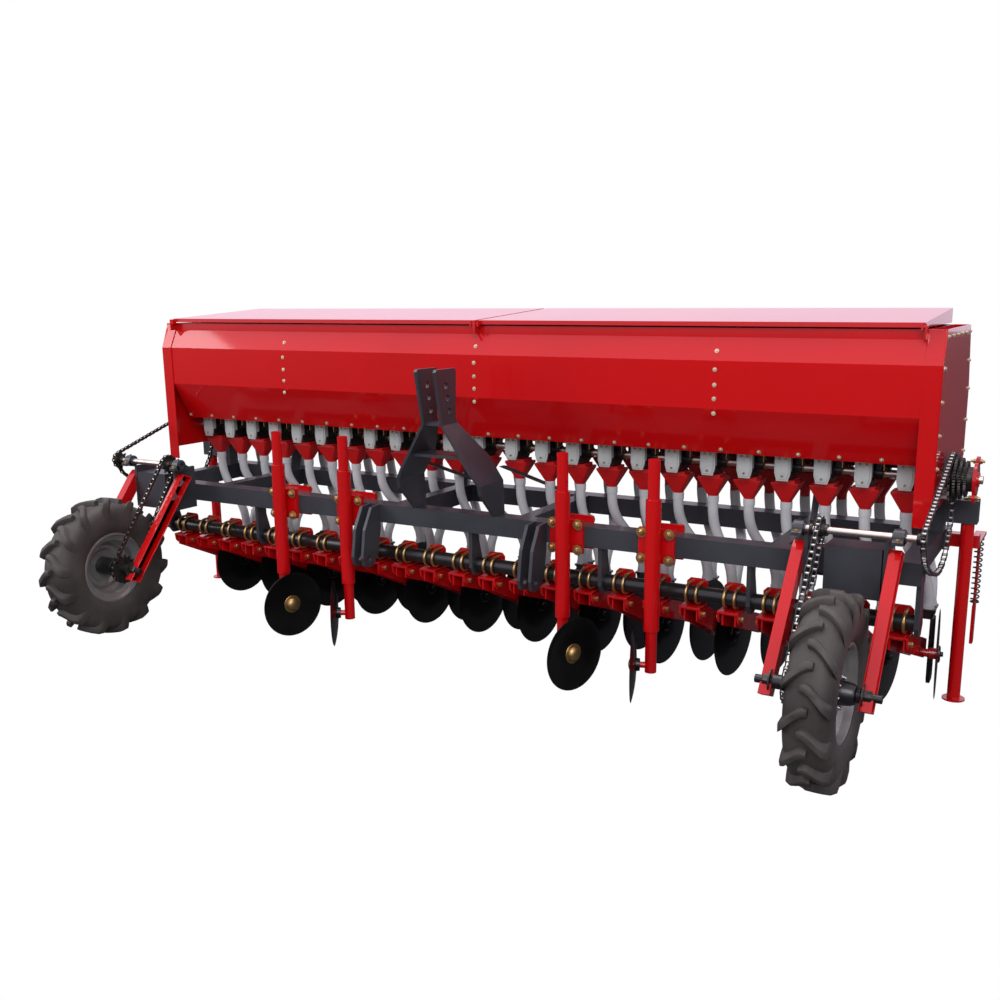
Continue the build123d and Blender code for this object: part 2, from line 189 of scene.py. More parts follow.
# %% Helpers that make and place a piece
def piece(name, bm, mat, body="root", keen=35.0):
    """Make an object from a bmesh and let it ride on a CAD body. Edges over keen degrees stay crisp."""
    bmesh.ops.remove_doubles(bm, verts=bm.verts, dist=2e-6)
    bmesh.ops.recalc_face_normals(bm, faces=bm.faces)
    mesh = bpy.data.meshes.new(name)
    bm.to_mesh(mesh)
    bm.free()
    mesh.materials.append(mat)
    mesh.shade_smooth()
    mesh.set_sharp_from_angle(angle=math.radians(keen))
    obj = bpy.data.objects.new(name, mesh)
    bpy.context.scene.collection.objects.link(obj)
    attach(obj, body)
    return obj


def spun(bm, profile, place, axis, steps=20):
    """Turn an open profile of (distance along the axis, radius) about the axis through place."""
    axis = Vector(axis).normalized()
    across = axis.orthogonal().normalized()
    up = axis.cross(across)
    rings = []
    for along, radius in profile:
        ring = []
        for k in range(steps):
            a = 2 * math.pi * k / steps
            out = across * math.cos(a) + up * math.sin(a)
            ring.append(bm.verts.new(Vector(place) + axis * along + out * max(radius, 1e-7)))
        rings.append(ring)
    for low, high in zip(rings, rings[1:]):
        for k in range(steps):
            bm.faces.new((low[k], low[(k + 1) % steps], high[(k + 1) % steps], high[k]))


def bolt(bm, place, axis, flat=0.017, washer=True, stud=0.0):
    """Hexagon head with a chamfered crown, on a washer, with a stud of that length through it."""
    r, h = flat * 0.577, flat * 0.6
    base = 0.0
    if washer:
        base = flat * 0.12
        spun(bm, [(0, 0), (0, flat * 0.95), (base, flat * 0.95), (base, 0)], place, axis, 16)
    head = [(base, 0), (base, r), (base + h * 0.82, r), (base + h, r * 0.84), (base + h, 0)]
    spun(bm, head, place, axis, 6)
    if stud:
        tip = base + h + stud
        shank = [(base, 0), (base, r * 0.52), (tip - 0.002, r * 0.52), (tip, r * 0.40), (tip, 0)]
        spun(bm, shank, place, axis, 12)


def bolt_set(name, spots, axis, mat, flat=0.017, body="root", washer=True, stud=0.0):
    """One piece that holds a bolt at each spot."""
    bm = bmesh.new()
    for spot in spots:
        bolt(bm, spot, axis, flat, washer, stud)
    return piece(name, bm, mat, body)


def along(line, gap):
    """Points about gap apart on an open line, its ends included."""
    out = []
    for a, b in zip(line, line[1:]):
        a, b = Vector(a), Vector(b)
        n = max(1, round((b - a).length / gap))
        out += [a + (b - a) * k / n for k in range(n)]
    return out + [Vector(line[-1])]


print("helpers ready")

# %% [markdown]
# ## Drawing parts as a workshop does
#
# Most of a farm machine is cut plate, folded sheet, bar and tube. Boxes and cylinders
# that are scaled and merged could stand for them, but holes, folds and bends would be
# lost. So the pieces below are drawn the way they are made: an outline in millimetres,
# pulled to its thickness. `side` draws in the plane seen from the wheel's side, `front`
# in the one seen from the tractor, and `turned` spins a profile on a lathe. Each gives
# points and faces, and `made` turns a list of them into one object, with small rounded
# edges for the light.

# %% Outlines and plates
from mathutils.geometry import tessellate_polygon

MM = 0.001


def circle(u, v, r, steps=24):
    """Outline of a round hole or disc."""
    return [(u + r * math.cos(2 * math.pi * k / steps), v + r * math.sin(2 * math.pi * k / steps))
            for k in range(steps)]


def inset(outline, t):
    """The closed outline moved inwards by t."""
    area = sum(a[0] * b[1] - b[0] * a[1] for a, b in zip(outline, outline[1:] + outline[:1]))
    turn = 1 if area > 0 else -1
    out = []
    for k, p in enumerate(outline):
        a, b = outline[k - 1], outline[(k + 1) % len(outline)]
        n1 = Vector((a[1] - p[1], p[0] - a[0])).normalized() * turn
        n2 = Vector((p[1] - b[1], b[0] - p[0])).normalized() * turn
        m = (n1 + n2) * (t / (1 + n1.dot(n2)))
        out.append((p[0] + m.x, p[1] + m.y))
    return out


def pulled(outline, holes, place, low, high):
    """Plate from an outline with holes. place puts (u, v) at depth w into space."""
    loops = [outline] + list(holes)
    n = sum(len(loop) for loop in loops)
    verts = [place(u, v, w) for w in (low, high) for loop in loops for u, v in loop]
    if holes:
        caps = tessellate_polygon([[Vector((u, v, 0)) for u, v in loop] for loop in loops])
    else:
        caps = [range(n)]
    faces = [tuple(c) for c in caps] + [tuple(n + k for k in c) for c in caps]
    first = 0
    for loop in loops:
        m = len(loop)
        faces += [(first + k, first + (k + 1) % m, n + first + (k + 1) % m, n + first + k) for k in range(m)]
        first += m
    return verts, faces


def side(outline, x0, x1, holes=()):
    """Plate drawn in (y, z) and pulled from x0 to x1."""
    return pulled(outline, holes, lambda u, v, w: Vector((w, u, v)), x0, x1)


def front(outline, y0, y1, holes=()):
    """Plate drawn in (x, z) and pulled from y0 to y1."""
    return pulled(outline, holes, lambda u, v, w: Vector((u, w, v)), y0, y1)


def block(x0, x1, y0, y1, z0, z1):
    """Plain block between two corners."""
    return side([(y0, z0), (y1, z0), (y1, z1), (y0, z1)], x0, x1)


print("plates can be drawn")

# %% Bars, rings and tubes
def joined(rings, ends=True):
    """Skin between rings of points, closed at both ends."""
    n = len(rings[0])
    verts = [p for loop in rings for p in loop]
    faces = [(i * n + k, i * n + (k + 1) % n, (i + 1) * n + (k + 1) % n, (i + 1) * n + k)
             for i in range(len(rings) - 1) for k in range(n)]
    if ends:
        faces += [tuple(range(n)), tuple(range((len(rings) - 1) * n, len(rings) * n))]
    return verts, faces


def turned(profile, place, axis, steps=24):
    """Closed profile of (distance along the axis, radius), turned about the axis through place."""
    axis = Vector(axis).normalized()
    across = axis.orthogonal().normalized()
    up = axis.cross(across)
    rings = []
    for k in range(steps + 1):
        a = 2 * math.pi * (k % steps) / steps
        out = across * math.cos(a) + up * math.sin(a)
        rings.append([Vector(place) + axis * d + out * max(r, 0.001) for d, r in profile])
    return joined(rings, ends=False)


def rod(p, q, r, steps=20):
    """Round bar of radius r from p to q. Six steps make a hexagon nut."""
    p, q = Vector(p), Vector(q)
    length = (q - p).length
    return turned([(0, 0), (0, r), (length, r), (length, 0)], p, q - p, steps)


def ring(x0, x1, y, z, out, bore, steps=32):
    """Ring with a bore, on a shaft that lies across the machine."""
    return turned([(0, bore), (0, out), (x1 - x0, out), (x1 - x0, bore)], (x0, y, z), (1, 0, 0), steps)


def swept(line, r, steps=12):
    """Round bar or tube of radius r along a smooth line of points in space."""
    rings = []
    across = None
    for k, p in enumerate(line):
        run = (line[min(k + 1, len(line) - 1)] - line[max(k - 1, 0)]).normalized()
        across = run.orthogonal() if across is None else across - run * across.dot(run)
        across.normalize()
        up = run.cross(across)
        rings.append([p + (across * math.cos(a) + up * math.sin(a)) * r
                      for a in [2 * math.pi * q / steps for q in range(steps)]])
    return joined(rings)


def curve(points, n):
    """Smooth curve in n steps that starts and ends at the outer points and is pulled by those between."""
    out = []
    for k in range(n + 1):
        left, t = [Vector(p) for p in points], k / n
        while len(left) > 1:
            left = [a.lerp(b, t) for a, b in zip(left, left[1:])]
        out.append(left[0])
    return out


def rounded(x, y, z, half_x, half_y, r, steps=5):
    """Level rectangle with round corners about (x, y) at height z."""
    out = []
    for q, (sx, sy) in enumerate(((1, 1), (-1, 1), (-1, -1), (1, -1))):
        corner = Vector((x + sx * (half_x - r), y + sy * (half_y - r), z))
        for k in range(steps):
            a = math.pi / 2 * (q + k / (steps - 1))
            out.append(corner + Vector((r * math.cos(a), r * math.sin(a), 0)))
    return out


print("bars and tubes can be drawn")

# %% Copies, objects and rounded edges
def both(shapes):
    """The shapes of the right side, and the same mirrored to the left."""
    return list(shapes) + [([Vector((-v.x, v.y, v.z)) for v in verts], faces) for verts, faces in shapes]


def repeated(shapes, places):
    """All the shapes, once for each place across the machine."""
    return [([v + Vector((x, 0, 0)) for v in verts], faces) for x in places for verts, faces in shapes]


def soften(obj, edge):
    """Round the sharp edges by that many millimetres, so that they catch the light."""
    soft = obj.modifiers.new("rounded_edges", "BEVEL")
    soft.width, soft.segments, soft.limit_method = edge * MM, 2, "ANGLE"
    soft.angle_limit = math.radians(40)
    obj.modifiers.new("even_shading", "WEIGHTED_NORMAL").keep_sharp = True


def made(name, shapes, mat, body="root", stands_for=(), edge=0.8, keen=35.0):
    """One object, in metres, from shapes drawn in millimetres. edge is the width of its rounded edges."""
    bm = bmesh.new()
    for verts, faces in shapes:
        own = [bm.verts.new(v * MM) for v in verts]
        for face in faces:
            bm.faces.new([own[k] for k in face])
    obj = piece(name, bm, mat, body, keen)
    if edge:
        soften(obj, edge)
    for node in stands_for:
        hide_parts(node)
    return obj


def box_mm(node):
    """Lowest and highest corner of a solid, in millimetres."""
    low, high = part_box(node)
    return Vector(low) / MM, Vector(high) / MM


def cross_bar(node):
    """Middle (y, z) and radius of a round bar that lies across the machine, in millimetres."""
    low, high = box_mm(node)
    return round((low.y + high.y) / 2, 1), round((low.z + high.z) / 2, 1), round((high.z - low.z) / 2, 1)


# Width of the rounded edges in millimetres: square tube, rails, plates and sheet
EDGES = {7.0: ("front_beam", "rear_beam"), 3.0: ("frame_rails",),
         1.5: ("bar_hangers", "hitch_braces", "lower_hitch", "wheel_brackets", "hopper_supports",
               "stand_brackets", "leg_sleeves", "rear_holders"),
         1.0: ("lid_left", "lid_right", "lid_hinges", "hopper_shell", "hopper_ends")}
for width, names in EDGES.items():
    for name in names:
        soften(nodes[name], width)
print("softened solids:", sum(len(names) for names in EDGES.values()))

# %% [markdown]
# ## Bolts on the hopper
#
# The hopper is folded sheet. Three columns of bolts hold the inner stays to its front,
# one bolt sits between every two seed outlets on the low fold, and a row runs round the
# outer face of each end plate. Their heads are plated, so they show as small pale
# points on the red. They are set at the stays, and spaced along a line round
# the plates.

# %% Hopper bolts
SIDES = (("left", -1), ("right", 1))
ROWS, ROW_GAP = 24, 150.0
STAYS = (-1.06, 0.0, 1.06)
hopper_low, hopper_high = box_mm("hopper_shell")
plate_out = box_mm("hopper_ends")[1].x
columns = [(x, hopper_low.y * MM, z) for x in STAYS for z in (1.103, 1.158, 1.210, 1.267)]
bolt_set("hopper_stay_bolts", columns, (0, -1, 0), PALE, 0.009)
low_edge = [(0.013 + ROW_GAP * MM * k, 0.1775, 0.955) for k in range(-ROWS // 2, ROWS // 2)]
bolt_set("trough_bolts", low_edge, (0, -0.878, -0.478), PALE, 0.009)
upper = [(x, 0.105, 1.335) for x in STAYS]
bolt_set("hopper_slope_bolts", upper, (0, -0.897, 0.443), PALE, 0.009)
PLATE_LINE = [(0.112, 0.83), (0.112, 1.29), (0.155, 1.395), (0.722, 1.395), (0.800, 1.17), (0.812, 0.92),
              (0.69, 0.815), (0.112, 0.83)]
for side_name, s in SIDES:
    rim_line = [(s * plate_out * MM, y, z) for y, z in PLATE_LINE]
    bolt_set(f"end_plate_bolts_{side_name}", along(rim_line, 0.115)[:-1], (s, 0, 0), PALE, 0.0095)
print("hopper bolts:", len(columns) + len(low_edge) + len(upper))

# %% [markdown]
# ## Flanges of the end plates
#
# Each end plate stands some 60 mm outside the hopper's end, and its front and back edges
# are folded in to meet it. The fold could be a bent copy of the plate. Here it is a thin
# strip that follows the hopper's outline, because only the outside of it shows.

# %% Flanges between the hopper and its end plates
WALL = 4
front_fold = [(84, 1298), (88, 1298), (130, 1385), (130, 1420), (130 - WALL, 1420), (130 - WALL, 1386),
              (84, 1301)]
rear_fold = [(744, 940), (800, 1180), (740, 1420), (740 + WALL, 1420), (800 + WALL, 1180), (744 + WALL, 939)]
folds = [side(fold, hopper_high.x, plate_out - WALL) for fold in (front_fold, rear_fold)]
made("end_plate_flanges", both(folds), RED, edge=1.0)
print("flanges:", 2 * len(folds))

# %% [markdown]
# ## Metering outlets, funnels and seed tubes
#
# Under every outlet of the hopper hangs a black metering body. A pale grey cover
# closes it at the front and narrows towards its foot, and a plated slide shuts it off.
# Seed falls through a red funnel, which tapers from a wide mouth to the white tube.
# The bodies are cut and pulled outlines. The funnel is a skin between level rings,
# because it changes from square to round. Each tube is a round profile swept along one
# soft curve down to the opener's inlet, which a bent cylinder wouldn't follow as well.

# %% Metering bodies, covers and slides
METER_Y, METER_Z, METER_R = cross_bar("metering_shaft")
FIRST_OUTLET = 88.0
outlets = sorted(s * (FIRST_OUTLET + ROW_GAP * k) for k in range(ROWS // 2) for s in (-1, 1))
FACE = [(-31, 940), (31, 940), (31, 868), (22, 838), (-22, 838), (-31, 868)]
BODY = [(251, 932), (251, 862), (272, 842), (300, 836), (352, 836), (376, 858), (380, 900), (380, 940),
        (262, 940)]
cover = [front(FACE, 243, 251), front(inset(FACE, 7), 240, 243), block(-31, -28, 251, 268, 876, 940),
         block(28, 31, 251, 268, 876, 940), block(-31, 31, 251, 268, 934, 940)]
cup = [side(BODY, -28, 28), ring(28, 32, METER_Y, METER_Z, 32, METER_R),
       ring(-32, -28, METER_Y, METER_Z, 32, METER_R), ring(32, 60, METER_Y, METER_Z, 24, METER_R),
       block(34, 56, 300, 340, 884, 940)]
slide = [block(36, 74, 262, 300, 934, 940), block(68, 72, 262, 290, 902, 934),
         block(-60, -36, 262, 300, 934, 940), ring(60, 66, METER_Y, METER_Z, 20, METER_R, 6)]
made("outlet_covers", repeated(cover, outlets), GREY_BOX, "root", ["metering_boxes"])
made("metering_bodies", repeated(cup, outlets), BLACK)
made("outlet_slides", repeated(slide, outlets), ZINC)
screws = [((x + dx) * MM, 0.240, z) for x in outlets for dx, z in ((-12, 0.925), (12, 0.925), (0, 0.858))]
bolt_set("outlet_cover_screws", screws, (0, -1, 0), BRASS, 0.008, washer=False)
print("outlets:", len(outlets))

# %% Funnels
FUN_Y = 325.0
# Height, half width across the machine, half width along it, and corner radius
MOUTH = ((836, 40, 40, 6), (824, 40, 40, 6), (824, 56, 45, 6), (816, 56, 45, 6), (752, 22, 22, 8),
         (745, 21, 21, 20), (722, 20, 20, 19.9))
funnel = [joined([rounded(0, FUN_Y, *level) for level in MOUTH])]
made("funnels", repeated(funnel, outlets), FUNNEL, "root", ["seed_funnels"])
print("funnels:", len(outlets))

# %% Where the openers and their inlets are
FRONT_ROW, REAR_ROW, ARM_SHIFT, TOE = 295.0, 420.0, 70.0, 8.0
DISC_Z, DISC_SIDE = 182.0, 60.0
INLET_SIDE, INLET_BACK, INLET_GAP, BOOT_TOP = 22.0, 70.0, 54.0, 340.0
units = []
for k in range(ROWS):
    arm_x = (k - (ROWS - 1) / 2) * ROW_GAP + ARM_SHIFT
    units.append((arm_x, REAR_ROW if k % 2 else FRONT_ROW, -TOE if k == ROWS - 1 else TOE, outlets[k]))


def inlet(arm_x, row_y, nth=0):
    """Middle of a boot's first inlet, or of its second one for nth=1."""
    return arm_x + INLET_SIDE, row_y + INLET_BACK + nth * INLET_GAP


print("openers stand from x =", units[0][0], "to", units[-1][0])

# %% Seed tubes
TUBE_R, CUFF = 21.0, 2.5


def cuff(x, y, low, high):
    """Thicker end of an upright tube."""
    return rod((x, y, low), (x, y, high), TUBE_R + CUFF)


tubes, cuffs = [], []
for arm_x, row_y, toe, outlet in units:
    foot_x, foot_y = inlet(arm_x, row_y)
    pull = [(outlet, FUN_Y, 722), (outlet, FUN_Y, 640), (outlet, FUN_Y, 560), (foot_x, foot_y, 500),
            (foot_x, foot_y, 420), (foot_x, foot_y, BOOT_TOP)]
    tubes.append(swept(curve(pull, 14), TUBE_R, 16))
    cuffs += [cuff(outlet, FUN_Y, 716, 744), cuff(foot_x, foot_y, BOOT_TOP - 4, BOOT_TOP + 16)]
made("bent_seed_tubes", tubes, TUBE, "root", ["seed_tubes"], edge=0)
made("tube_cuffs", cuffs, TUBE, edge=1.0)
print("tubes:", len(tubes))

# %% [markdown]
# ## Second trough and its outlets
#
# Behind the first row of outlets the hopper has a second trough with a row of its own,
# and its funnels feed the second inlet of every opener. The tubes come down behind the
# rear beam and swing forward under it. The row repeats the front one, turned about the
# line half-way between them. It could be drawn anew, but reflecting the same shapes
# keeps both rows alike.

# %% Rear trough, outlets and tubes
MID_Y, TROUGH_Z = 465.0, 940.0
REAR_Y = 2 * MID_Y - FUN_Y
trough = side([(498, 999), (530, TROUGH_Z), (744, TROUGH_Z), (800, 1180)], hopper_low.x, hopper_high.x)
made("rear_trough", [trough], RED, edge=1.5)


def reflected(shapes):
    """The shapes turned over to the rear row."""
    return [([Vector((v.x, 2 * MID_Y - v.y, v.z)) for v in verts], faces) for verts, faces in shapes]


for name, shapes, mat, slot in (("rear_outlet_covers", cover, GREY_BOX, "box_plastic"),
                                ("rear_metering_bodies", cup, BLACK, "black_paint"),
                                ("rear_funnels", funnel, FUNNEL, "red_plastic")):
    made(name, repeated(reflected(shapes), outlets), mat)
shaft_ends = [(x, 2 * MID_Y - METER_Y, METER_Z) for x in (hopper_low.x, hopper_high.x)]
made("rear_metering_shaft", [rod(*shaft_ends, METER_R)], STEEL, edge=0)
rear_tubes = []
for arm_x, row_y, toe, outlet in units:
    foot_x, foot_y = inlet(arm_x, row_y, 1)
    pull = [(outlet, REAR_Y, 722), (outlet, REAR_Y + 10, 640), (outlet, REAR_Y + 34, 560),
            (foot_x, REAR_Y + 30, 500), (foot_x, foot_y, 460), (foot_x, foot_y, 400),
            (foot_x, foot_y, BOOT_TOP)]
    rear_tubes += [swept(curve(pull, 16), TUBE_R, 16), cuff(foot_x, foot_y, BOOT_TOP - 4, BOOT_TOP + 16)]
made("rear_seed_tubes", rear_tubes, TUBE, edge=0)
print("rear outlets:", len(outlets))

# %% [markdown]
# ## Openers
#
# Twenty-four openers hang from the round bar. On each one a pair of gold-plated U-bolts
# comes round the front of the bar and pulls the clamp's plate against it. A folded
# channel arm reaches back from a pin below the clamp and carries a slanting disc on a
# hub. The boot beside the disc drops the seed. An array modifier could repeat them, but
# the last disc leans the other way and every second one stands further back. So the
# loop below draws each unit from its own place in the list.

# %% Clamps and U-bolts
BAR_Y, BAR_Z, BAR_R = cross_bar("opener_bar")
U_R, U_OUT, U_SIDE = 6.0, 36.5, 20
CLAMP_W, CHEEK_IN = 42, 34
BACK = BAR_Y + BAR_R + 6
upright = [(-CLAMP_W, BAR_Z - 52), (CLAMP_W, BAR_Z - 52), (CLAMP_W, BAR_Z + 36), (CLAMP_W - 14, BAR_Z + 50),
           (14 - CLAMP_W, BAR_Z + 50), (-CLAMP_W, BAR_Z + 36)]
ear = [(BAR_Y - 45, BAR_Z - 46), (BAR_Y - 40, BAR_Z - 78), (BAR_Y - 26, BAR_Z - 92), (BAR_Y + 12, BAR_Z - 92),
       (BAR_Y + 45, BAR_Z - 52), (BAR_Y + 45, BAR_Z - 46)]
clamp = [front(upright, BACK, BACK + 8),
         block(-CLAMP_W, CLAMP_W, BAR_Y - 45, BACK, BAR_Z - 52, BAR_Z - 44),
         side(ear, -CLAMP_W, -CHEEK_IN), side(ear, CHEEK_IN, CLAMP_W)]
over = [Vector((0, BAR_Y - U_OUT * math.cos(a), BAR_Z + U_OUT * math.sin(a)))
        for a in [math.pi * (k / 12 - 0.5) for k in range(13)]]
bent = [Vector((0, BACK + 22, BAR_Z - U_OUT))] + over + [Vector((0, BACK + 22, BAR_Z + U_OUT))]
hoops = repeated([swept(bent, U_R, 10)], (-U_SIDE, U_SIDE))
hoops += [rod((dx, BACK + 8, z), (dx, BACK + 18, z), 10, 6) for dx in (-U_SIDE, U_SIDE)
          for z in (BAR_Z - U_OUT, BAR_Z + U_OUT)]
arms_x = [unit[0] for unit in units]
made("clamp_plates", repeated(clamp, arms_x), RED_CAST, "root", ["opener_clamps"])
made("clamp_u_bolts", repeated(hoops, arms_x), ZINC, "root", ["u_bolts"], edge=0, keen=50)
print("clamps:", len(arms_x))

# %% Channel arms and disc axles
SHEET, NEAR, FAR, LAST_SHIFT = 6, 25, 30, 16


def disc_seat(arm_x, row_y, toe):
    """Middle of an opener's disc, and the way that its axle points."""
    a = math.radians(toe)
    middle = Vector((arm_x + DISC_SIDE + (LAST_SHIFT if toe < 0 else 0), row_y, DISC_Z))
    return middle, Vector((math.cos(a), -math.sin(a), 0))


arms = []
for arm_x, row_y, toe, outlet in units:
    cheek = [(BAR_Y - 36, 376), (BAR_Y + 50, 376), (row_y + 36, 226), (row_y + 40, 174), (row_y - 10, 162),
             (BAR_Y - 36, 330)]
    fold = [(BAR_Y - 36, 376), (BAR_Y + 50, 376), (row_y + 36, 226), (row_y + 40, 174), (row_y + 34, 174),
            (row_y + 30, 222), (BAR_Y + 47, 370), (BAR_Y - 36, 370)]
    near, far = arm_x - NEAR, arm_x + FAR
    centre, normal = disc_seat(arm_x, row_y, toe)
    arms += [side(cheek, near, near + SHEET), side(cheek, far - SHEET, far),
             side(fold, near + SHEET, far - SHEET), rod(centre - normal * 30, centre - normal * 2, 22),
             rod(centre - normal * 62, centre - normal * 30, 16)]
made("opener_channel_arms", arms, RED_CAST, "root", ["opener_arms"], edge=1.0)
print("opener arms:", len(units))

# %% Discs and boots
DISC_R = 175.0
DISC_EDGE = [(-1.9, 0), (-2, 30), (-2, DISC_R - 9), (-0.4, DISC_R), (0.4, DISC_R), (2, DISC_R - 9), (2, 34),
             (9, 33), (12, 27), (12, 0)]
NUT = [(12, 0), (12, 11), (20, 11), (22, 9), (22, 0)]
# Height, half widths and corner radius of the cup that takes a tube
CUP = ((BOOT_TOP, 28, 28, 8), (BOOT_TOP - 8, 28, 28, 8), (BOOT_TOP - 10, 24, 24, 10),
       (BOOT_TOP - 40, 20, 22, 10))
discs, nuts, boots = [], [], []
for arm_x, row_y, toe, outlet in units:
    centre, normal = disc_seat(arm_x, row_y, toe)
    discs.append(turned(DISC_EDGE, centre, normal, 64))
    nuts.append(turned(NUT, centre, normal, 6))
    foot_x, foot_y = inlet(arm_x, row_y)
    blade = [(foot_y - 28, 306), (foot_y + 28, 306), (foot_y + 34, 220), (foot_y + 40, 60), (foot_y + 28, 44),
             (foot_y - 20, 40), (foot_y - 30, 60), (foot_y - 32, 200)]
    boots += [joined([rounded(foot_x, y, *level) for level in CUP]) for y in (foot_y, foot_y + INLET_GAP)]
    boots += [side(blade, foot_x + 14, foot_x + 28),
              block(foot_x + 14, foot_x + 28, row_y + 37, foot_y, DISC_Z - 6, DISC_Z + 30)]
made("opener_cutting_discs", discs, DISC, "root", ["opener_discs"], edge=0, keen=25)
made("opener_hub_nuts", nuts, BLACK)
made("opener_seed_boots", boots, BLACK, "root", ["opener_boots"], edge=1.0)
for side_name, s in SIDES:
    pins = [((x + s * CLAMP_W) * MM, -0.040, 0.352) for x in arms_x]
    bolt_set(f"opener_pins_{side_name}", pins, (s, 0, 0), ZINC, 0.018, washer=False)
print("openers:", len(units))

# %% [markdown]
# ## Wheel arms, bearings and the countershaft
#
# Each land wheel hangs between two channel arms. Their webs lie against the bracket on
# the front beam and their flanges point away from the wheel. Two bolts hold each arm,
# and the axle goes through its foot. Above them the countershaft turns in two cast
# bearings, with black set collars beside the sprockets. A plate with a hole as large as
# its inside gives the flanges, so the channel is really hollow.

# %% Channel arms of the land wheels
arms_high = box_mm("wheel_arms")[1]
tyre_low, tyre_high = box_mm("tyre_right")
WHEEL_X, WHEEL_Y, AXLE_Z = (tyre_low + tyre_high) / 2
ARM_LINE = [(-150, 700), (-200, 720), (-225, 700), (WHEEL_Y - 40, 285), (WHEEL_Y + 10, 262)]
ARM_T, ARM_DEEP, AXLE_R = 6, 40, 14
WEBS = (("inner", 1500, -1), ("outer", 1776, 1))
limbs = []
for tag, web, out in WEBS:
    limbs.append(side(ARM_LINE, *sorted((web, web + out * ARM_T))))
    limbs.append(side(ARM_LINE, *sorted((web + out * ARM_T, web + out * ARM_DEEP)), [inset(ARM_LINE, ARM_T)]))
made("wheel_channel_arms", both(limbs), RED, stands_for=["wheel_arms"], edge=1.2)
axle = [rod((arms_high.x - 400, WHEEL_Y, AXLE_Z), (arms_high.x, WHEEL_Y, AXLE_Z), AXLE_R),
        ring(1763, 1776, WHEEL_Y, AXLE_Z, 24, AXLE_R), ring(1500, 1545, WHEEL_Y, AXLE_Z, 24, AXLE_R)]
made("wheel_axles", both(axle), BLACK, edge=1.0)
for side_name, s in SIDES:
    for tag, web, out in WEBS:
        face = s * (web + out * ARM_T) * MM
        fixed = [(face, -0.202, 0.684), (face, -0.250, 0.624)]
        axle_end = [(face, WHEEL_Y * MM, AXLE_Z * MM)]
        bolt_set(f"arm_bolts_{tag}_{side_name}", fixed, (s * out, 0, 0), BRIGHT, 0.024)
        bolt_set(f"axle_nut_{tag}_{side_name}", axle_end, (s * out, 0, 0), CHAIN, 0.040)
print("channel arms:", 2 * len(WEBS))

# %% Bearings and collars
COUNTER_Y, COUNTER_Z, COUNTER_R = cross_bar("countershafts")
BEARINGS, COLLARS = (1480, 1807), (1516, 1566, 1861)
FOOT = [(COUNTER_Y - 45, 745), (COUNTER_Y + 45, 745), (COUNTER_Y + 45, 756), (COUNTER_Y + 24, 768),
        (COUNTER_Y - 24, 768), (COUNTER_Y - 45, 756)]
castings = []
for x in BEARINGS:
    castings += [side(FOOT, x - 17, x + 17), ring(x - 17, x + 17, COUNTER_Y, COUNTER_Z, 27, COUNTER_R),
                 ring(x - 22, x + 22, COUNTER_Y, COUNTER_Z, 19, COUNTER_R),
                 rod((x, COUNTER_Y, COUNTER_Z + 25), (x, COUNTER_Y, COUNTER_Z + 32), 4, 10)]
made("bearing_castings", both(castings), DARK, stands_for=["pillow_blocks"], edge=1.5)
collars = [ring(x, x + 11, COUNTER_Y, COUNTER_Z, 20, COUNTER_R) for x in COLLARS]
made("shaft_collars", both(collars), BLACK, edge=1.0)
print("bearings:", 2 * len(BEARINGS), "collars:", 2 * len(COLLARS))

# %% [markdown]
# ## Rims
#
# A land wheel has a pressed rim: two bead seats for the tyre, a deep well between
# them, and a dished centre plate that is bolted to a black hub. It could be modelled
# from a cylinder with loop cuts, but a lathe profile gives every step at once, and the
# steps that catch the light are real.

# %% Pressed rims and hubs
RIM = [(-60, 163), (-60, 152), (-46, 149), (-38, 126), (20, 126), (32, 149), (60, 152), (60, 163),
       (55, 163), (53, 158), (29, 155), (15, 132), (-35, 132), (-42, 155), (-53, 158), (-55, 163)]
DISH = [(8, 129), (14, 110), (4, 96), (4, 86), (20, 70), (22, 40), (28, 40), (27, 72), (11, 88), (11, 95),
        (21, 109), (16, 129)]
PLAY = 0.6
HUB = [(-70, AXLE_R + PLAY), (-70, 38), (-30, 42), (26, 42), (28, 60), (36, 60), (38, 42), (78, 36),
       (89, 30), (89, AXLE_R + PLAY)]
for side_name, s in SIDES:
    centre = Vector((s * WHEEL_X, WHEEL_Y, AXLE_Z))
    body = f"wheel_{side_name}"
    pressed = [turned(profile, centre, (s, 0, 0), 64) for profile in (RIM, DISH)]
    made(f"pressed_rim_{side_name}", pressed, SILVER, body, [f"rim_{side_name}"], edge=1.0)
    hub = [turned(HUB, centre, (s, 0, 0), 40)]
    made(f"wheel_hub_{side_name}", hub, BLACK, body, edge=1.0)
print("rims:", len(SIDES))

# %% [markdown]
# ## Tyres
#
# The land wheels drive the metering, so their tyres have open tractor lugs that bite
# in soft soil. A lug starts near the middle of the tread, bends back and runs down
# the shoulder. The left and right rows are half a step apart. Lugs from a bump texture
# wouldn't change the outline, which is where the eye looks for them. So the carcass is
# turned from a rounded profile and the lugs are laid on it, station by station.

# %% Tyres with bent lugs
CARCASS = [(-0.061, 0.1635), (-0.066, 0.170), (-0.0735, 0.195), (-0.0745, 0.225), (-0.0728, 0.252),
           (-0.067, 0.272), (-0.055, 0.287), (-0.035, 0.2945), (0.0, 0.2975), (0.035, 0.2945), (0.055, 0.287),
           (0.067, 0.272), (0.0728, 0.252), (0.0745, 0.225), (0.0735, 0.195), (0.066, 0.170),
           (0.061, 0.1635), (0.061, 0.1635), (-0.061, 0.1635)]
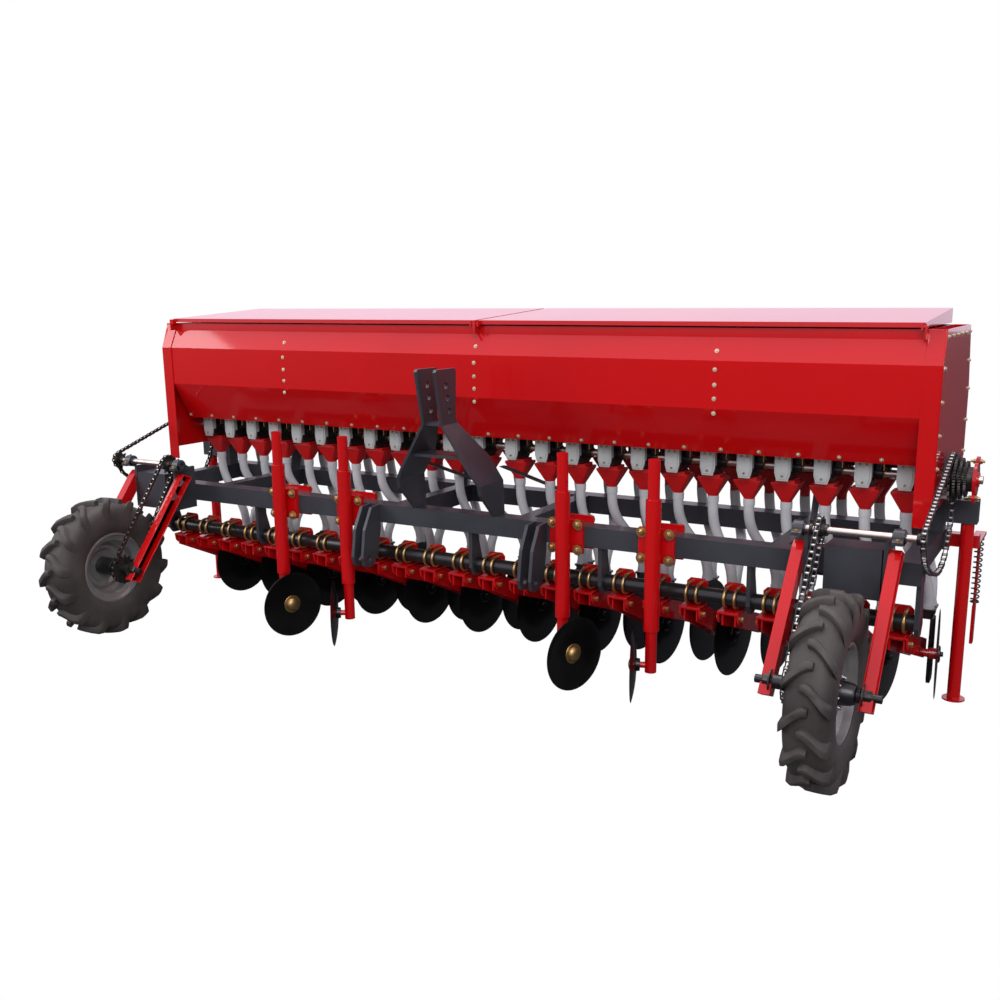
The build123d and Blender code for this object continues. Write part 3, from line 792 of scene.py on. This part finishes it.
# x across the tread, way round the tyre, foot radius, top radius, half width
LUG = [(-0.014, -0.036, 0.290, 0.3185, 0.0100), (0.000, -0.037, 0.290, 0.3190, 0.0135),
       (0.014, -0.030, 0.290, 0.3190, 0.0145), (0.034, -0.012, 0.288, 0.3186, 0.0140),
       (0.056, 0.010, 0.281, 0.3168, 0.0140), (0.0705, 0.024, 0.262, 0.3080, 0.0145),
       (0.0745, 0.032, 0.244, 0.2820, 0.0145), (0.0749, 0.036, 0.230, 0.2520, 0.0120)]
LUGS, TREAD_R, DISH_FACE = 14, 0.305, 0.036
VALVE = [(0, 0), (0, 0.005), (0.012, 0.005), (0.012, 0.0035), (0.026, 0.0035), (0.026, 0)]


def lug(bm, centre, hand, turn):
    """One lug: a bar with sloping flanks that follows the stations in LUG."""
    rows = []
    for x, way, foot, top, half in LUG:
        crown = top - 0.004
        row = []
        for radius, wide in ((foot, 1.35), (crown, 1.08), (top, 0.78), (top, -0.78), (crown, -1.08),
                             (foot, -1.35)):
            a = turn + (way + wide * half) / TREAD_R
            row.append(bm.verts.new(centre + Vector((hand * x, radius * math.cos(a), radius * math.sin(a)))))
        rows.append(row)
    for low, high in zip(rows, rows[1:]):
        for k in range(5):
            bm.faces.new((low[k], low[k + 1], high[k + 1], high[k]))
        bm.faces.new((low[5], low[0], high[0], high[5]))
    bm.faces.new(rows[0])
    bm.faces.new(rows[-1])


for side_name, s in SIDES:
    low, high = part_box(f"tyre_{side_name}")
    centre = (low + high) / 2
    body = f"wheel_{side_name}"
    bm = bmesh.new()
    spun(bm, CARCASS, centre, (1, 0, 0), 96)
    for k in range(2 * LUGS):
        lug(bm, centre, 1 if k % 2 else -1, math.pi * k / LUGS)
    tyre = piece(f"land_tyre_{side_name}", bm, RUBBER, body, 50.0)
    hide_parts(f"tyre_{side_name}")
    stud_ring = [centre + Vector((s * DISH_FACE, 0.052 * math.cos(a), 0.052 * math.sin(a)))
                 for a in [math.pi * k / 4 for k in range(8)]]
    bolt_set(f"wheel_nuts_{side_name}", stud_ring, (s, 0, 0), BRIGHT, 0.013, body, stud=0.004)
    valve = bmesh.new()
    spun(valve, VALVE, centre + Vector((s * DISH_FACE, 0.0, 0.140)), (s, 0, 0.25), 12)
    piece(f"valve_{side_name}", valve, RUBBER, body)
print("lugs on each tyre:", 2 * LUGS)

# %% [markdown]
# ## Roller chains
#
# Two chains on each side carry the drive: one from the land wheel up to the
# countershaft, and one from there to the metering shaft at the end of the hopper. The
# second is long and hangs slack. A link could be arrayed along a curve, but then it
# would miss the teeth. So the joints are set first: in the gaps of both sprockets, and
# a pitch apart in between. Every joint gets a pin and a roller, and plates join them in
# turn on the inside and on the outside.

# %% Where the joints of a chain lie
PITCH = 0.0254
WHEEL_AT, COUNTER_AT, METER_AT = (Vector(at) * MM for at in (
    (WHEEL_Y, AXLE_Z), (COUNTER_Y, COUNTER_Z), (METER_Y, METER_Z)))
rise = COUNTER_AT - WHEEL_AT
LEAN = math.degrees(math.atan2(rise.y, rise.x))
# Centre, teeth, middle of the wrap in degrees, and the steps that the chain lies round it
ON_WHEEL, ON_COUNTER = (WHEEL_AT, 15, LEAN + 180, 8), (COUNTER_AT, 10, LEAN, 5)
OFF_COUNTER, ON_METER = (COUNTER_AT, 9, 178.0, 4), (METER_AT, 22, 50.0, 7)


def wrap(centre, teeth, mid, steps):
    """Joints in the tooth gaps that the chain fills."""
    r = PITCH / (2 * math.sin(math.pi / teeth))
    angles = [math.radians(mid + (k - steps / 2) * 360 / teeth) for k in range(steps + 1)]
    return [centre + Vector((r * math.cos(a), r * math.sin(a))) for a in angles]


def joints(loop):
    """Joints a pitch apart round a closed line."""
    out = []
    for a, b in zip(loop, loop[1:] + loop[:1]):
        n = max(1, round((b - a).length / PITCH))
        out += [a.lerp(b, k / n) for k in range(n)]
    return out


wheel_loop = wrap(*ON_WHEEL) + wrap(*ON_COUNTER)
first, last = wrap(*OFF_COUNTER)[::-1], wrap(*ON_METER)[::-1]
drop = [last[-1], (last[-1].x + 0.008, 0.570), (0.235, 0.480), (0.030, 0.590), (first[0].x + 0.010, 0.650),
        first[0]]
hopper_loop = first + last + curve(drop, 14)[1:-1]
LOOPS = {"wheel_chains": joints(wheel_loop), "hopper_chains": joints(hopper_loop)}


# %% Links, pins and rollers
PLATE_T, PLATE_TALL, INNER_GAP, OUTER_GAP = 0.0018, 0.0135, 0.0066, 0.0086
PIN = [(-0.0096, 0), (-0.0096, 0.0022), (0.0096, 0.0022), (0.0096, 0)]
ROLLER = [(-0.0056, 0), (-0.0056, 0.0050), (0.0056, 0.0050), (0.0056, 0)]


def plate(bm, a, b, x):
    """Waisted link plate between two joints, at x."""
    run = (b - a).normalized()
    off = Vector((-run.y, run.x))
    r = PLATE_TALL / 2
    outline = []
    for centre, lead, waist in ((b, 0.0, 0.72 * r), (a, math.pi, -0.72 * r)):
        for k in range(5):
            t = lead - math.pi / 2 + math.pi * k / 4
            outline.append(centre + run * (r * math.cos(t)) + off * (r * math.sin(t)))
        outline.append((a + b) / 2 + off * waist)
    sides = [[bm.verts.new((x + dx, p.x, p.y)) for p in outline] for dx in (-PLATE_T / 2, PLATE_T / 2)]
    bm.faces.new(sides[0])
    bm.faces.new(sides[1])
    for k in range(len(outline)):
        j = (k + 1) % len(outline)
        bm.faces.new((sides[0][k], sides[0][j], sides[1][j], sides[1][k]))


for name, loop in LOOPS.items():
    low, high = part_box(name)
    x_mid = high.x - 0.008
    for side_name, s in SIDES:
        bm, rollers = bmesh.new(), bmesh.new()
        for k, a in enumerate(loop):
            b = loop[(k + 1) % len(loop)]
            gap = INNER_GAP if k % 2 else OUTER_GAP
            for face in (-1, 1):
                plate(bm, a, b, s * x_mid + face * gap)
            spun(bm, PIN, (s * x_mid, a.x, a.y), (1, 0, 0), 8)
            spun(rollers, ROLLER, (s * x_mid, a.x, a.y), (1, 0, 0), 12)
        roller_chain = piece(f"{name[:-1]}_{side_name}_links", bm, CHAIN)
        piece(f"{name[:-1]}_{side_name}_rollers", rollers, BRIGHT)
        if s > 0:
            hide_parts(name)
print("chains are linked")

# %% [markdown]
# ## Sprockets and the rate stack
#
# A sprocket is a plate with as many teeth as chain joints that fit round it. A gear
# generator could draw one, but it wouldn't know this chain. Here the pitch circle
# follows from the chain's pitch and the number of teeth, and the plate is turned so
# that its gaps lie where the chain has its rollers. At the end of the metering shaft
# sits a stack of change wheels, closed by a flange with threaded rods.

# %% Toothed sprockets
# Share of a tooth step from the gap, and distance from the pitch circle
TOOTH = ((-0.16, -6.5), (0.0, -8.0), (0.16, -6.5), (0.36, 1.0), (0.45, 6.0), (0.55, 6.0), (0.64, 1.0))


def toothed(x0, x1, sprocket, bore):
    """Sprocket plate with a gap at every joint of the chain that lies round it."""
    centre, teeth, mid, steps = sprocket
    centre = centre / MM
    r = PITCH / MM / (2 * math.sin(math.pi / teeth))
    line = []
    for k in range(teeth):
        for share, out in TOOTH:
            a = math.radians((k + share - steps / 2) * 360 / teeth + mid)
            line.append((centre.x + (r + out) * math.cos(a), centre.y + (r + out) * math.sin(a)))
    return side(line, x0, x1, [circle(*centre, bore)])


counter, axle_at, meter = (COUNTER_Y, COUNTER_Z), (WHEEL_Y, AXLE_Z), (METER_Y, METER_Z)
plates = [toothed(1545, 1553, ON_COUNTER, COUNTER_R), ring(1553, 1566, *counter, 22, COUNTER_R),
          toothed(1545, 1553, ON_WHEEL, AXLE_R), ring(1553, 1580, *axle_at, 30, AXLE_R),
          toothed(1881, 1889, OFF_COUNTER, COUNTER_R), ring(1873, 1881, *counter, 20, COUNTER_R)]
made("toothed_sprockets", both(plates), CHAIN, "root", ["sprockets"], edge=0.5)
print("sprockets:", len(plates))

# %% Change wheels and the rate flange
END, NOTCHES, NOTCH_DEEP, STUD_AT = 1860.0, 48, 3, 70


def change_wheel(x0, x1, r):
    """Wheel with fine teeth on the metering shaft."""
    line = []
    for k in range(2 * NOTCHES):
        a, reach = math.pi * k / NOTCHES, r - NOTCH_DEEP * (k % 2)
        line.append((METER_Y + reach * math.cos(a), METER_Z + reach * math.sin(a)))
    return side(line, x0, x1, [circle(*meter, METER_R)])


stack = [ring(END, 1881, *meter, 36, METER_R), toothed(1881, 1889, ON_METER, METER_R),
         ring(1889, 1960, *meter, 45, METER_R)]
stack += [change_wheel(x, x + 9, r) for x, r in ((1897, 84), (1914, 76), (1931, 66))]
made("change_wheel_stack", both(stack), CHAIN, "root", ["end_drives"], edge=0.5)
flange, studs = [ring(1960, 1972, *meter, 62, METER_R, 48), ring(1972, 1978, *meter, 26, METER_R)], []
for deg in (62, 242):
    y = METER_Y + STUD_AT * math.cos(math.radians(deg))
    z = METER_Z + STUD_AT * math.sin(math.radians(deg))
    flange.append(rod((1960, y, z), (1972, y, z), 18, 32))
    studs += [rod((1940, y, z), (1988, y, z), 5, 12), rod((1972, y, z), (1980, y, z), 10, 6),
              rod((1950, y, z), (1960, y, z), 10, 6)]
made("rate_flanges", both(flange), RED_CAST, edge=1.0)
made("rate_studs", both(studs), ZINC, edge=0.6)
print("parts of each rate stack:", len(stack) + len(flange) + len(studs))

# %% [markdown]
# ## Springs of the rear arms
#
# A compression spring on a guide rod presses each rear arm down. A spring is one round
# wire wound on a helix, with its end turns lying flat. A screw modifier winds an even
# helix, but it can't close the ends, so the rings of the wire are set one by one.

# %% Coil springs
spring_low, spring_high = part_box("rear_springs")
WIRE, COIL_R, TURNS, ROUND, WIRE_SIDES = 0.0034, 0.0146, 14, 22, 8
y = (spring_low.y + spring_high.y) / 2
z0, z1 = spring_low.z + WIRE, spring_high.z - WIRE
for side_name, s in SIDES:
    x = s * (spring_high.x - 0.015)
    bm = bmesh.new()
    rings = []
    for k in range(TURNS * ROUND + 1):
        share = k / (TURNS * ROUND)
        climb = min(max((share - 1 / TURNS) / (1 - 2 / TURNS), 0.0), 1.0)
        a = 2 * math.pi * k / ROUND
        out = Vector((math.cos(a), math.sin(a), 0))
        middle = Vector((x, y, z0 + (z1 - z0) * (0.02 * share + 0.98 * climb))) + out * COIL_R
        rings.append([bm.verts.new(middle + out * (WIRE * math.cos(t)) + Vector((0, 0, WIRE * math.sin(t))))
                      for t in [2 * math.pi * q / WIRE_SIDES for q in range(WIRE_SIDES)]])
    for low, high in zip(rings, rings[1:]):
        for q in range(WIRE_SIDES):
            r = (q + 1) % WIRE_SIDES
            bm.faces.new((low[q], low[r], high[r], high[q]))
    bm.faces.new(rings[0])
    bm.faces.new(rings[-1])
    coil = piece(f"arm_spring_{side_name}", bm, CHAIN)
    if s > 0:
        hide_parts("rear_springs")
print("springs wound:", TURNS, "turns")

# %% [markdown]
# ## Bolts on the frame
#
# The loosener legs are clamped to the front beam by a plate with four plated bolts.
# The bearings of the countershaft stand on two bolts each, and the brackets of the land
# wheels are bolted through. The heads are set from the spacing of the holes, because a
# bolt pattern is always a small grid.

# %% Frame bolts
LEGS, HEAD_SIDE, HEAD_LEVELS = (-0.919, -0.539, 0.539, 0.919), 0.056, (0.565, 0.667)
PLATE_FRONT, STRAP_BACK, FOOT_TOP, BRACKET_X = -0.120, -0.003, 0.756, 1.776
heads = [(x + dx, PLATE_FRONT, z) for x in LEGS for dx in (-HEAD_SIDE, HEAD_SIDE) for z in HEAD_LEVELS]
bolt_set("leg_plate_bolts", heads, (0, -1, 0), ZINC, 0.022, stud=0.003)
bolt_set("leg_strap_nuts", [(x, STRAP_BACK, z) for x, _, z in heads], (0, 1, 0), ZINC, 0.020, stud=0.008)
feet = [(s * x * MM, (COUNTER_Y + dy) * MM, FOOT_TOP) for s in (-1, 1) for x in BEARINGS for dy in (-35, 35)]
bolt_set("bearing_bolts", feet, (0, 0, 1), ZINC, 0.013)
holes = [(y, z) for y in (-0.200, -0.120) for z in (0.575, 0.690)]
for side_name, s in SIDES:
    cheek_bolts = [(s * BRACKET_X, y, z) for y, z in holes]
    bolt_set(f"bracket_bolts_{side_name}", cheek_bolts, (s, 0, 0), BRIGHT, 0.020)
print("frame bolts:", 2 * len(heads) + len(feet) + 2 * len(holes))

# %% [markdown]
# ## Loosener discs
#
# Behind the tractor's wheels four dished discs break the pressed ground. A dish is a
# flat sheet pressed into a shallow bowl. A flattened sphere would curve most at its
# rim, so a lathe profile is used, whose depth grows with the square of the radius. A
# turned brass-coloured cap keeps the grease in each hub. It stands on a steel flange
# and has a shallow ring near its edge.

# %% Dished discs and brass caps
DISH_R, DISH_DEEP, EYE_R, SKIN_T, HUB_OUT = 149.0, 16.0, 30, 4.0, 55
radii = [EYE_R, 52, 74, 96, 116, 134, DISH_R]
bowl = [(DISH_DEEP * ((r - EYE_R) / (DISH_R - EYE_R)) ** 2, r) for r in radii]
# The back of the sheet follows the bowl inwards, and stays short of it at the ground edge
back = [(d + SKIN_T, r) for d, r in bowl[-2::-1]]
DISHED = bowl + [(DISH_DEEP + SKIN_T - 2.5, DISH_R - 3)] + back
HUB_RING = [(-14, 12.1), (-14, 24), (0, 26), (0, 44), (6, 44), (6, 12.1)]
CAP = [(0.006, 0.0), (0.006, 0.0305), (0.0140, 0.0308), (0.0165, 0.0300), (0.0220, 0.0255),
       (0.0262, 0.0206), (0.0290, 0.013), (0.0305, 0.0062), (0.0308, 0.0)]
CAP_RING = [(0.0062, 0.0308), (0.0062, 0.040), (0.0085, 0.041), (0.0100, 0.0395), (0.0100, 0.0308)]
# Tag, place across the machine, side that the hollow faces, and turn in degrees
LOOSENERS = (("a", -919, 1, -19.0), ("b", -539, -1, 34.0), ("c", 539, 1, -20.0), ("d", 919, -1, 20.0))
for tag, x, hand, toe in LOOSENERS:
    a = math.radians(toe)
    n = Vector((math.cos(a), math.sin(a), 0)) * hand
    base = Vector((x, -140, 152)) + n * HUB_OUT
    body = f"loosener_{tag}"
    made(f"dished_disc_{tag}", [turned(DISHED, base, n, 72), turned(HUB_RING, base, n, 36)], DISC, body,
         [f"loosener_disc_{tag}"], edge=0, keen=25)
    bm = bmesh.new()
    spun(bm, CAP, base * MM, n, 40)
    spun(bm, CAP_RING, base * MM, n, 40)
    piece(f"hub_cap_{tag}", bm, BRASS, body)
print("loosener discs:", len(LOOSENERS))

# %% [markdown]
# ## Camera, floor and light
#
# The drill is seen from its front right, a little above head height. The camera is
# placed from a fitted position and three angles. The floor is pale, and it shows
# white to the camera and darker to shiny metal, as a yard would. The lamps stay at a
# plain level, and the white comes from the ray's kind rather than from more light.

# %% Camera
EYE = Vector((2.37219, -3.70805, 1.54703))
YAW, TILT, ROLL = math.radians(29.64), math.radians(12.33), math.radians(-0.49)
camera = bpy.data.objects.new("camera", bpy.data.cameras.new("camera"))
bpy.context.scene.collection.objects.link(camera)
camera.data.lens = 37.76
camera.data.sensor_width = 36.0
camera.data.shift_x = -0.0188
camera.data.shift_y = 0.0238
camera.data.clip_end = 200.0
aim = (Matrix.Rotation(YAW, 4, "Z") @ Matrix.Rotation(math.pi / 2 - TILT, 4, "X")
       @ Matrix.Rotation(ROLL, 4, "Z"))
camera.matrix_world = Matrix.Translation(EYE) @ aim
bpy.context.scene.camera = camera
print("camera at", tuple(EYE))

# %% Floor that shows white
def pale_floor():
    """Matt grey that shows white to the camera and dark to mirrors."""
    mat = bpy.data.materials.new("studio_floor")
    mat.use_nodes = True
    tree = mat.node_tree
    tree.nodes.clear()
    out = tree.nodes.new("ShaderNodeOutputMaterial")
    rays = tree.nodes.new("ShaderNodeLightPath")
    matt = tree.nodes.new("ShaderNodeBsdfDiffuse")
    matt.inputs["Color"].default_value = (0.34, 0.34, 0.34, 1)
    mirrored = tree.nodes.new("ShaderNodeEmission")
    mirrored.inputs["Color"].default_value = (0.07, 0.065, 0.075, 1)
    seen = tree.nodes.new("ShaderNodeEmission")
    seen.inputs["Color"].default_value = (1, 1, 1, 1)
    under = matt.outputs["BSDF"]
    for ray, over in (("Is Glossy Ray", mirrored), ("Is Camera Ray", seen)):
        blend = tree.nodes.new("ShaderNodeMixShader")
        tree.links.new(rays.outputs[ray], blend.inputs["Fac"])
        tree.links.new(under, blend.inputs[1])
        tree.links.new(over.outputs["Emission"], blend.inputs[2])
        under = blend.outputs["Shader"]
    tree.links.new(under, out.inputs["Surface"])
    return mat


REACH, DROP = 40.0, 0.0005
corners = [(-REACH, -REACH, 0), (REACH, -REACH, 0), (REACH, REACH, 0), (-REACH, REACH, 0)]
floor_mesh = bpy.data.meshes.new("studio_floor")
floor_mesh.from_pydata(corners, [], [(0, 1, 2, 3)])
floor = bpy.data.objects.new("studio_floor", floor_mesh)
bpy.context.scene.collection.objects.link(floor)
floor.location.z = CAD_BOX[0][2] - DROP
floor.data.materials.append(pale_floor())
print("floor at", round(floor.location.z, 4))

# %% World
world = bpy.data.worlds.new("studio")
bpy.context.scene.world = world
world.use_nodes = True
tree = world.node_tree
sky = tree.nodes["Background"]
rays = tree.nodes.new("ShaderNodeLightPath")
tint = tree.nodes.new("ShaderNodeMixRGB")
tint.inputs["Color1"].default_value = (1, 1, 1, 1)
tint.inputs["Color2"].default_value = (0.94, 0.84, 1.0, 1)
tree.links.new(rays.outputs["Is Glossy Ray"], tint.inputs["Fac"])
tree.links.new(tint.outputs["Color"], sky.inputs["Color"])
most = tree.nodes.new("ShaderNodeMath")
most.operation = "MAXIMUM"
tree.links.new(rays.outputs["Is Camera Ray"], most.inputs[0])
tree.links.new(rays.outputs["Is Glossy Ray"], most.inputs[1])
level = tree.nodes.new("ShaderNodeMapRange")
level.inputs["To Min"].default_value = 0.55
level.inputs["To Max"].default_value = 1.0
tree.links.new(most.outputs["Value"], level.inputs["Value"])
tree.links.new(level.outputs["Result"], sky.inputs["Strength"])
print("world lights at", level.inputs["To Min"].default_value)


# %% Lamps
def lamp(name, place, aim, power, size):
    """Square area lamp that looks at a point."""
    light = bpy.data.objects.new(name, bpy.data.lights.new(name, "AREA"))
    bpy.context.scene.collection.objects.link(light)
    light.data.energy = power
    light.data.size = size
    light.location = place
    light.rotation_euler = (Vector(aim) - Vector(place)).to_track_quat("-Z", "Y").to_euler()
    return light


lamp("key", (3.5, -5.5, 5.0), (0, 0, 0.7), 260, 4.0)
lamp("top", (-1.0, 0.5, 6.0), (0, 0, 0.8), 220, 5.0)
lamp("left", (-5.5, -3.5, 3.0), (0, 0, 0.7), 110, 3.0)
bpy.context.scene.view_settings.view_transform = "Standard"
print("lamps:", len(bpy.data.lights))
